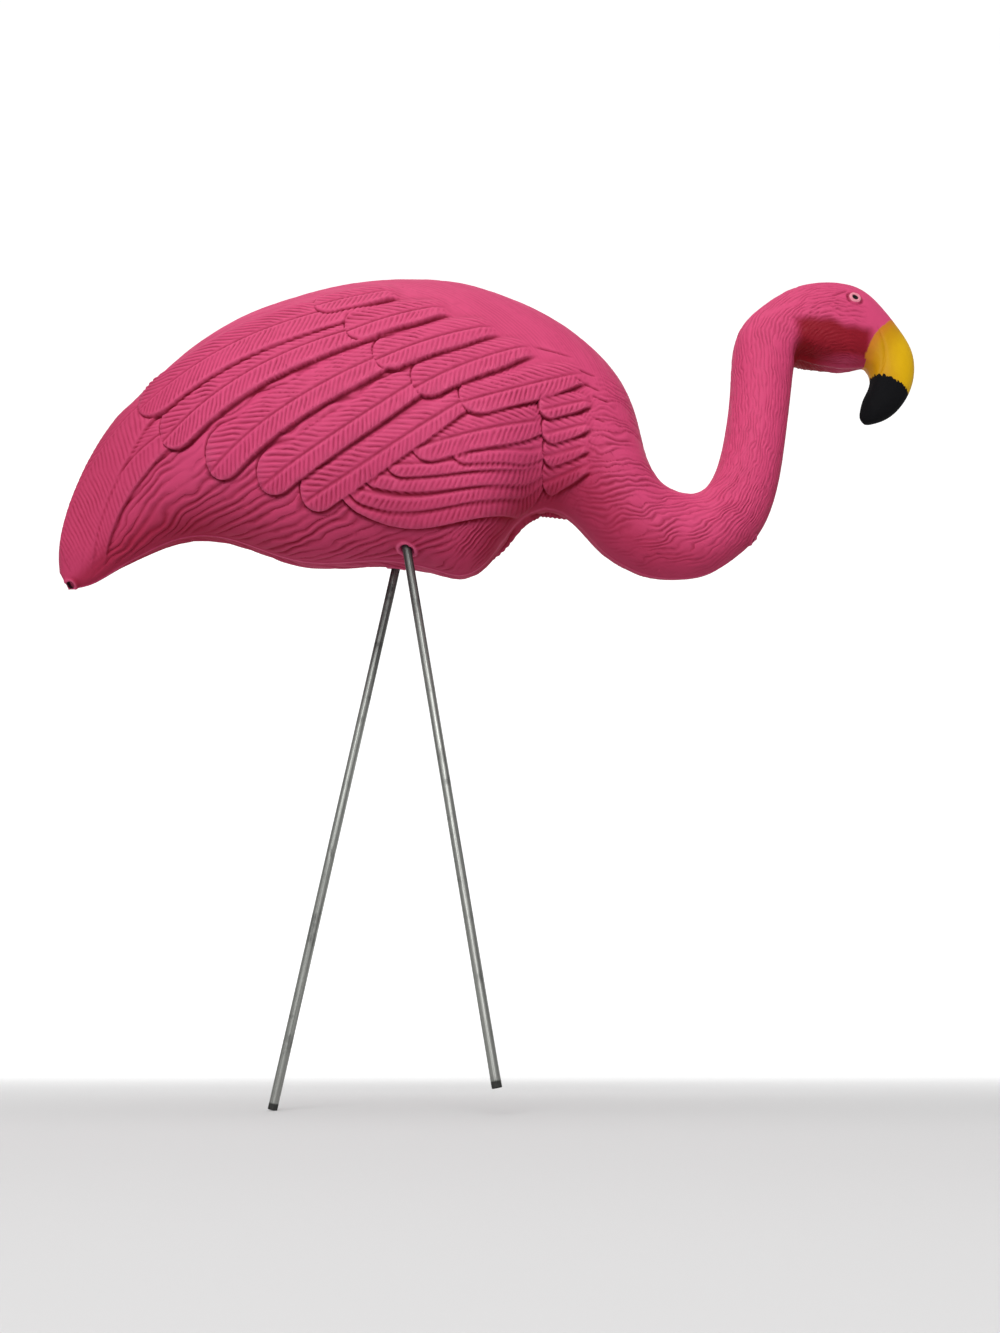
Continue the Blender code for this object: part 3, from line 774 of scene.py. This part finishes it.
def rod_profile(radius, length):
    """Height and radius along a rod: a flat end, a quarter round, the straight, and the same again."""
    chamfer = ROD_END_CHAMFER
    ease = np.linspace(0, pi / 2, 6)
    corner_height, corner_radius = chamfer * (1 - np.cos(ease)), radius - chamfer * (1 - np.sin(ease))
    face = np.array([0.35, 0.7, 0.95]) * (radius - chamfer)
    straight = np.linspace(chamfer, length - chamfer, ROD_RINGS)[1:-1]
    height = np.concatenate([np.zeros(len(face)), corner_height, straight,
                             length - corner_height[::-1], np.full(len(face), length)])
    girth = np.concatenate([face, corner_radius, np.full(len(straight), radius),
                            corner_radius[::-1], face[::-1]])
    return height, girth


def build_rod(node, place, finish):
    """A drawn steel rod: its profile carried round its axis, and closed to a point at each end. Small
    dents and a slow waver of the radius come from noise, and a nick is a bell curve. The texture map's
    first number goes round and its second is the length from the foot."""
    foot, up, length, side = place
    radius, sides = finish.diameter / 2, ROD_SIDES
    waver_depth, burr_depth, nick_depth = 0.00004, 0.0001, 0.0007
    height, girth = rod_profile(radius, length)
    tall, turn = height[:, None], np.linspace(0, 2 * pi, sides, endpoint=False)
    waver = waver_depth * lattice_noise(tall / 0.02, 3 + turn * 0.9, 50 + side)
    burr = burr_depth * lattice_noise(turn * 3, tall * 0 + side, 9) * (tall < ROD_END_CHAMFER)
    nick = np.exp(-((tall - NICK_AT) / 0.0022) ** 2) * np.exp(-((turn - 4.2) / 0.7) ** 2) * (side > 0)
    reach = girth[:, None] * (1 + (waver - nick_depth * nick + burr) / radius)
    ring = np.stack([reach * np.cos(turn), reach * np.sin(turn), np.broadcast_to(tall, reach.shape)], -1)
    ends = np.array([[0, 0, 0], [0, 0, length]])
    turn_to = np.array(Vector(up).to_track_quat("Z", "Y").to_matrix())
    vertices = np.concatenate([ring.reshape(-1, 3), ends]) @ turn_to.T + foot
    ended = np.concatenate([np.repeat(np.clip((DARK_END - height) / 0.001, 0, 1), sides), [1, 0]])
    rod = put_mesh(node + "_steel", vertices, *grid_faces(len(height), sides), [("cut_end", ended)])
    around = np.concatenate([np.tile(turn / (2 * pi), len(height)), [0.5, 0.5]])
    along = np.concatenate([np.repeat(height, sides), [0, length]])
    layer = rod.data.uv_layers.new(name="UVMap")
    corner = np.empty(len(rod.data.loops), dtype=np.int32)
    rod.data.loops.foreach_get("vertex_index", corner)
    unwrapped = np.stack([around[corner], along[corner]], axis=-1)
    layer.data.foreach_set("uv", unwrapped.astype(np.float32).ravel())
    return rod


class Wire:
    """One output of a node tree. Sums, products and comparisons of wires and numbers add Math nodes."""

    def __init__(self, tree, socket):
        self.tree, self.socket = tree, socket

    def node(self, kind, settings=None, inputs=None, output=0):
        """Add a node: its settings first, then the values or links of its sockets."""
        made = self.tree.nodes.new(kind)
        for name, value in (settings or {}).items():
            setattr(made, name, value)
        for name, value in (inputs or {}).items():
            if isinstance(value, Wire):
                self.tree.links.new(value.socket, made.inputs[name])
            else:
                made.inputs[name].default_value = value
        return Wire(self.tree, made.outputs[output])

    def math(self, operation, *values):
        return self.node("ShaderNodeMath", {"operation": operation}, dict(enumerate(values)))

    def __add__(self, other):
        return self.math("ADD", self, other)

    __radd__ = __add__

    def __sub__(self, other):
        return self.math("SUBTRACT", self, other)

    def __rsub__(self, other):
        return self.math("SUBTRACT", other, self)

    def __mul__(self, other):
        return self.math("MULTIPLY", self, other)

    __rmul__ = __mul__

    def __truediv__(self, other):
        return self.math("DIVIDE", self, other)

    def __pow__(self, other):
        return self.math("POWER", self, other)

    def __gt__(self, other):
        return self.math("GREATER_THAN", self, other)

    def rise(self, start, end):
        """0 at the start value, 1 at the end value, with a smooth rise between."""
        inputs = {"Value": self, "From Min": start, "From Max": end}
        return self.node("ShaderNodeMapRange", {"interpolation_type": "SMOOTHSTEP"}, inputs)

    def mix(self, first, second):
        """Colour between two others, with this wire as the share of the second."""
        inputs = {0: self, 6: first, 7: second}
        return self.node("ShaderNodeMix", {"data_type": "RGBA"}, inputs, 2)

    def noise(self, at, scale, detail=3.0, stretch=None):
        """Fractal noise at a vector, around 0.5, after the vector is stretched."""
        if stretch:
            at = self.node("ShaderNodeMapping", {}, {"Vector": at, "Scale": stretch})
        return self.node("ShaderNodeTexNoise", {}, {"Vector": at, "Scale": scale, "Detail": detail})

    def part(self, index):
        """One of a vector's three numbers."""
        return self.node("ShaderNodeSeparateXYZ", {}, {"Vector": self}, index)

    def field(self, name):
        """A float attribute of the mesh's points."""
        return self.node("ShaderNodeAttribute", {"attribute_name": name}, output="Fac")


def start_material(name):
    """A new Principled material: the material, its shader node and a wire with the object's coordinates."""
    material = bpy.data.materials.new(name)
    material.use_nodes = True
    tree = material.node_tree
    at = Wire(tree, None).node("ShaderNodeTexCoord", output="Object")
    return material, tree.nodes["Principled BSDF"], at


def feed(shader, **wires):
    """Link wires, or set plain values, on a shader's sockets, whose names have spaces for underscores."""
    for name, value in wires.items():
        socket = shader.inputs[name.replace("_", " ")]
        if isinstance(value, Wire):
            value.tree.links.new(value.socket, socket)
        else:
            socket.default_value = value


def opaque(colour):
    """A colour with its fourth number."""
    return (*colour, 1)


def plastic_colour(at, groove, painted_shade, blotch, paint):
    """Pink plastic, with shade painted in its grooves, in the throat's hollow and under the bird, and paler
    on its ridges, on the rims of the leg holes and along the parting line."""
    pale = opaque(paint.crest)
    colour = (at.field("crest") * 0.42 + (blotch - 0.5) * 0.25).mix(opaque(paint.pink), pale)
    # Painted shade in the grooves
    colour = (groove ** 0.8 * (0.60 + blotch * 0.7)).mix(colour, opaque(paint.groove))
    # Painted shade in the throat's hollow and under the bird
    colour = (at.field("hollow") * 0.95 + painted_shade * 0.66).mix(colour, opaque(paint.shade))
    return (at.field("seam").rise(0.25, 0.9) * 0.62).mix(colour, pale)


def vent_colour(colour, at, mouth, paint):
    """A colour with one vent's pale lip and its dark inside, which is painted shade, laid over it."""
    from_vent = at.node("ShaderNodeVectorMath", {"operation": "DISTANCE"}, {0: at, 1: mouth}, "Value")
    colour = ((1 - from_vent.rise(*VENT_LIP_END)) * 0.5).mix(colour, opaque(paint.crest))
    # The vent's dark inside is painted shade
    return (1 - from_vent.rise(*VENT_DARK_END)).mix(colour, opaque(paint.hole))


def beak_shares(at, x, z):
    """Where the beak is yellow, where it is black, and how far in front of the face's ragged edge a
    point lies. The edge is a slanted line bowed by a parabola, and the black's a slanted line."""
    height = z - YELLOW_FROM[1]
    share = height / YELLOW_HEIGHT
    ragged = (at.noise(at, 300.0, 2.0) - 0.5) * YELLOW_RAGGED
    face_line = height * YELLOW_SLOPE + YELLOW_FROM[0] - share * (1 - share) * (4 * YELLOW_BOW)
    past_face = x - face_line + ragged
    upper = z.rise(YELLOW_FROM[1] - 1.5, YELLOW_FROM[1])
    yellow = past_face.rise(-1.5, 1.0) * upper + (x > YELLOW_FROM_X) * (1 - upper)
    teeth = (at.noise(at, 640.0, 1.0, (1.0, 1.0, 0.15)) - 0.5) * BLACK_TEETH
    black_line = (x - BLACK_FROM[0]) * BLACK_SLOPE + BLACK_FROM[1] - teeth
    black = (black_line - z).rise(-0.5, 0.5) * (x > BILL_FROM_X)
    return yellow.math("MINIMUM", yellow, 1.0), black, past_face


def yellow_colour(past_face, z, groove, paint):
    """The beak's yellow: orange where it is thin at the face, brighter at the front, and with painted shade
    in its grooves.
    """
    thin = (1 - past_face.rise(2.0, 17.0)) * z.rise(236, 262)
    colour = (thin * 0.55).mix(opaque(paint.yellow), opaque(paint.orange))
    colour = (past_face.rise(16.0, 42.0) * 0.8).mix(colour, opaque(paint.bright_yellow))
    return (groove * 0.6).mix(colour, opaque(paint.beak_groove))


def painted_plastic(paint, scale, offset):
    """The bird's finish: semi-matte pink plastic, with the painted eye, the yellow beak and its black tip
    placed in the side view, and with shade painted in grooves, hollows and vents and under the bird."""
    material, shader, at = start_material("painted_pink_plastic")
    x = (at.part(0) - float(offset[0])) / float(scale)
    z = (at.part(2) - float(offset[2])) / float(scale)
    groove, painted_shade = at.field("groove"), at.field("painted_shade")
    blotch = at.noise(at, 26.0, 4.0)
    colour = plastic_colour(at, groove, painted_shade, blotch, paint)
    for mouth in vent_mouths(scale, offset):
        colour = vent_colour(colour, at, mouth, paint)
    yellow, black, past_face = beak_shares(at, x, z)
    colour = yellow.mix(colour, yellow_colour(past_face, z, groove, paint))
    colour = black.mix(colour, opaque(paint.black))
    from_eye = ((x - EYE_AT[0]) ** 2.0 + (z - EYE_AT[1]) ** 2.0) ** 0.5
    colour = (1 - from_eye.rise(*EYE_RING_END)).mix(colour, opaque(paint.eye_ring))
    colour = (1 - from_eye.rise(*PUPIL_END)).mix(colour, opaque(paint.black))
    rough = 0.58 + groove * 0.15 + (blotch - 0.5) * 0.18 - yellow * 0.06 + black * 0.35 + painted_shade * 0.35
    grain = at.noise(at, 420.0, 2.0)
    bump = at.node("ShaderNodeBump", {}, {"Strength": 0.22, "Distance": 0.0004, "Height": grain})
    feed(shader, Base_Color=colour, Roughness=rough, Normal=bump, Specular_IOR_Level=0.13)
    return material


def drawn_steel(finish):
    """The rods' finish: bright steel with streaks along its length, dull blotches, darker towards the
    bird, and dark cut ends. The streaks read the rod's own texture map."""
    material, shader, at = start_material("drawn_steel")
    unwrapped = at.node("ShaderNodeUVMap", {"uv_map": "UVMap"})
    streak = at.noise(unwrapped, 5.0, 4.0, (9.0, 2.2, 1.0))
    fine = at.noise(unwrapped, 5.0, 3.0, (30.0, 30.0, 1.0))
    blotch = at.noise(at, 90.0, 3.0)
    ended = at.field("cut_end")
    height = unwrapped.part(1)
    dull = streak.rise(0.40, 0.66) * 0.6 + blotch.rise(0.55, 0.75) * 0.3 + height.rise(0.24, 0.38) * 0.65
    dull = dull.math("MINIMUM", dull, 1.0)
    colour = dull.mix(opaque(finish.steel), opaque(finish.dark))
    colour = (ended * 0.97).mix(colour, opaque(finish.cut_end))
    rough = 0.40 + dull * 0.15 + fine * 0.1 + ended * 0.25
    scratches = streak + fine * 0.5
    bump = at.node("ShaderNodeBump", {}, {"Strength": 0.15, "Distance": 0.0002, "Height": scratches})
    feed(shader, Base_Color=colour, Roughness=rough, Metallic=1 - ended, Normal=bump)
    return material


class FLAMINGO_OT_bird(bpy.types.Operator):
    """Carve and paint the moulded bird"""

    bl_idname = "flamingo.bird"
    bl_label = "Moulded Bird"

    def execute(self, context):
        scene = context.scene
        bird, scale, offset = build_bird(scene.flamingo_shape, scene.flamingo_rods)
        bird.data.materials.clear()
        bird.data.materials.append(painted_plastic(scene.flamingo_paint, scale, offset))
        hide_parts("flamingo_body")
        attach(bird, "root")
        return {"FINISHED"}


class FLAMINGO_OT_rods(bpy.types.Operator):
    """Draw the two steel leg rods"""

    bl_idname = "flamingo.rods"
    bl_label = "Leg Rods"

    def execute(self, context):
        finish = context.scene.flamingo_rods
        steel = drawn_steel(finish)
        for node, place in rod_places(finish).items():
            rod = build_rod(node, place, finish)
            rod.data.materials.append(steel)
            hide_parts(node)
            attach(rod, "root")
        return {"FINISHED"}


class FLAMINGO_OT_stage(bpy.types.Operator):
    """Set up the pale floor, the soft lights and the camera"""

    bl_idname = "flamingo.stage"
    bl_label = "Stage"

    def execute(self, context):
        studio = context.scene.flamingo_studio
        add_floor(studio)
        add_lights(studio)
        add_camera(studio)
        return {"FINISHED"}


def add_floor(studio):
    """A pale floor that curves up into a backdrop: a profile of straight, quarter circle and straight,
    carried along X. It glows white with distance, so that no edge shows where it bends."""
    bend = np.linspace(0, pi / 2, 32)
    near, far, radius, top = -3.0, 1.4, 2.0, 6.0
    y = np.concatenate([[near], far + radius * np.sin(bend), [far + radius]])
    z = np.concatenate([[0], radius * (1 - np.cos(bend)), [top]])
    x = np.array([-5.0, 5.0])
    grid = np.stack(np.broadcast_arrays(x[:, None], y[None, :], z[None, :]), axis=-1)
    across = len(y)
    first = np.arange(across - 1)
    quads = np.stack([first, first + across, first + across + 1, first + 1], axis=-1)
    floor = put_mesh("pale_floor", grid.reshape(-1, 3), quads, np.zeros((0, 3), dtype=int))
    material, shader, at = start_material("pale_floor")
    glow = at.part(1).rise(-0.2, 2.4).mix((0, 0, 0, 1), opaque([studio.glow] * 3))
    feed(shader, Base_Color=opaque([studio.floor] * 3), Roughness=0.9, Emission_Color=glow,
         Emission_Strength=1.0)
    floor.data.materials.append(material)


def softbox(name, place, target, size, power):
    """One square area light that faces a point."""
    light = bpy.data.lights.new(name, "AREA")
    light.energy, light.size = power, size
    lamp = bpy.data.objects.new(name, light)
    lamp.location = place
    lamp.rotation_euler = (Vector(target) - Vector(place)).to_track_quat("-Z", "Y").to_euler()
    bpy.context.scene.collection.objects.link(lamp)


def add_lights(studio):
    """A large softbox overhead, a stronger one in front, and even light from all round."""
    softbox("overhead", *OVERHEAD, studio.key)
    softbox("front", *FRONT, studio.fill)
    world = bpy.data.worlds.new("studio")
    world.use_nodes = True
    sky = world.node_tree.nodes["Background"]
    sky.inputs["Color"].default_value = (1, 1, 1, 1)
    sky.inputs["Strength"].default_value = studio.world
    bpy.context.scene.world = world
    bpy.context.scene.view_settings.view_transform = "Standard"


def add_camera(studio):
    """The camera, low and close in front of the bird's right side, tilted up."""
    camera = bpy.data.cameras.new("camera")
    camera.sensor_fit, camera.sensor_height = "VERTICAL", 36.0
    camera.lens = studio.focal_pixels / PHOTO_HEIGHT * camera.sensor_height
    camera.clip_start = 0.02
    holder = bpy.data.objects.new("camera", camera)
    holder.location = (studio.across, -studio.distance, studio.height)
    holder.rotation_euler = (pi / 2 + studio.pitch, 0, 0)
    bpy.context.scene.collection.objects.link(holder)
    bpy.context.scene.camera = holder


class FLAMINGO_PT_panel(bpy.types.Panel):
    """Buttons that build each part of the ornament"""

    bl_idname = "FLAMINGO_PT_panel"
    bl_label = "Pink Flamingo"
    bl_space_type = "VIEW_3D"
    bl_region_type = "UI"
    bl_category = "Flamingo"

    def draw(self, context):
        for operator in OPERATORS:
            self.layout.operator(operator.bl_idname)
        for name in GROUPS:
            group = getattr(context.scene, name)
            box = self.layout.box()
            box.label(text=GROUPS[name].__name__)
            for setting in group.bl_rna.properties.keys()[2:]:
                box.prop(group, setting)


OPERATORS = (FLAMINGO_OT_bird, FLAMINGO_OT_rods, FLAMINGO_OT_stage)
GROUPS = {"flamingo_shape": BirdShape, "flamingo_paint": BirdPaint, "flamingo_rods": RodFinish,
          "flamingo_studio": Studio}


def register():
    """Register the classes and give the scene its settings."""
    for item in (*GROUPS.values(), *OPERATORS, FLAMINGO_PT_panel):
        bpy.utils.register_class(item)
    for name, group in GROUPS.items():
        setattr(bpy.types.Scene, name, PointerProperty(type=group))


def unregister():
    """Take the settings and the classes away again."""
    for name in GROUPS:
        delattr(bpy.types.Scene, name)
    for item in (FLAMINGO_PT_panel, *OPERATORS, *GROUPS.values()):
        bpy.utils.unregister_class(item)


def main():
    """Build the ornament and its stage."""
    register()
    bpy.ops.flamingo.bird()
    bpy.ops.flamingo.rods()
    bpy.ops.flamingo.stage()


if __name__ == "__main__":
    main()
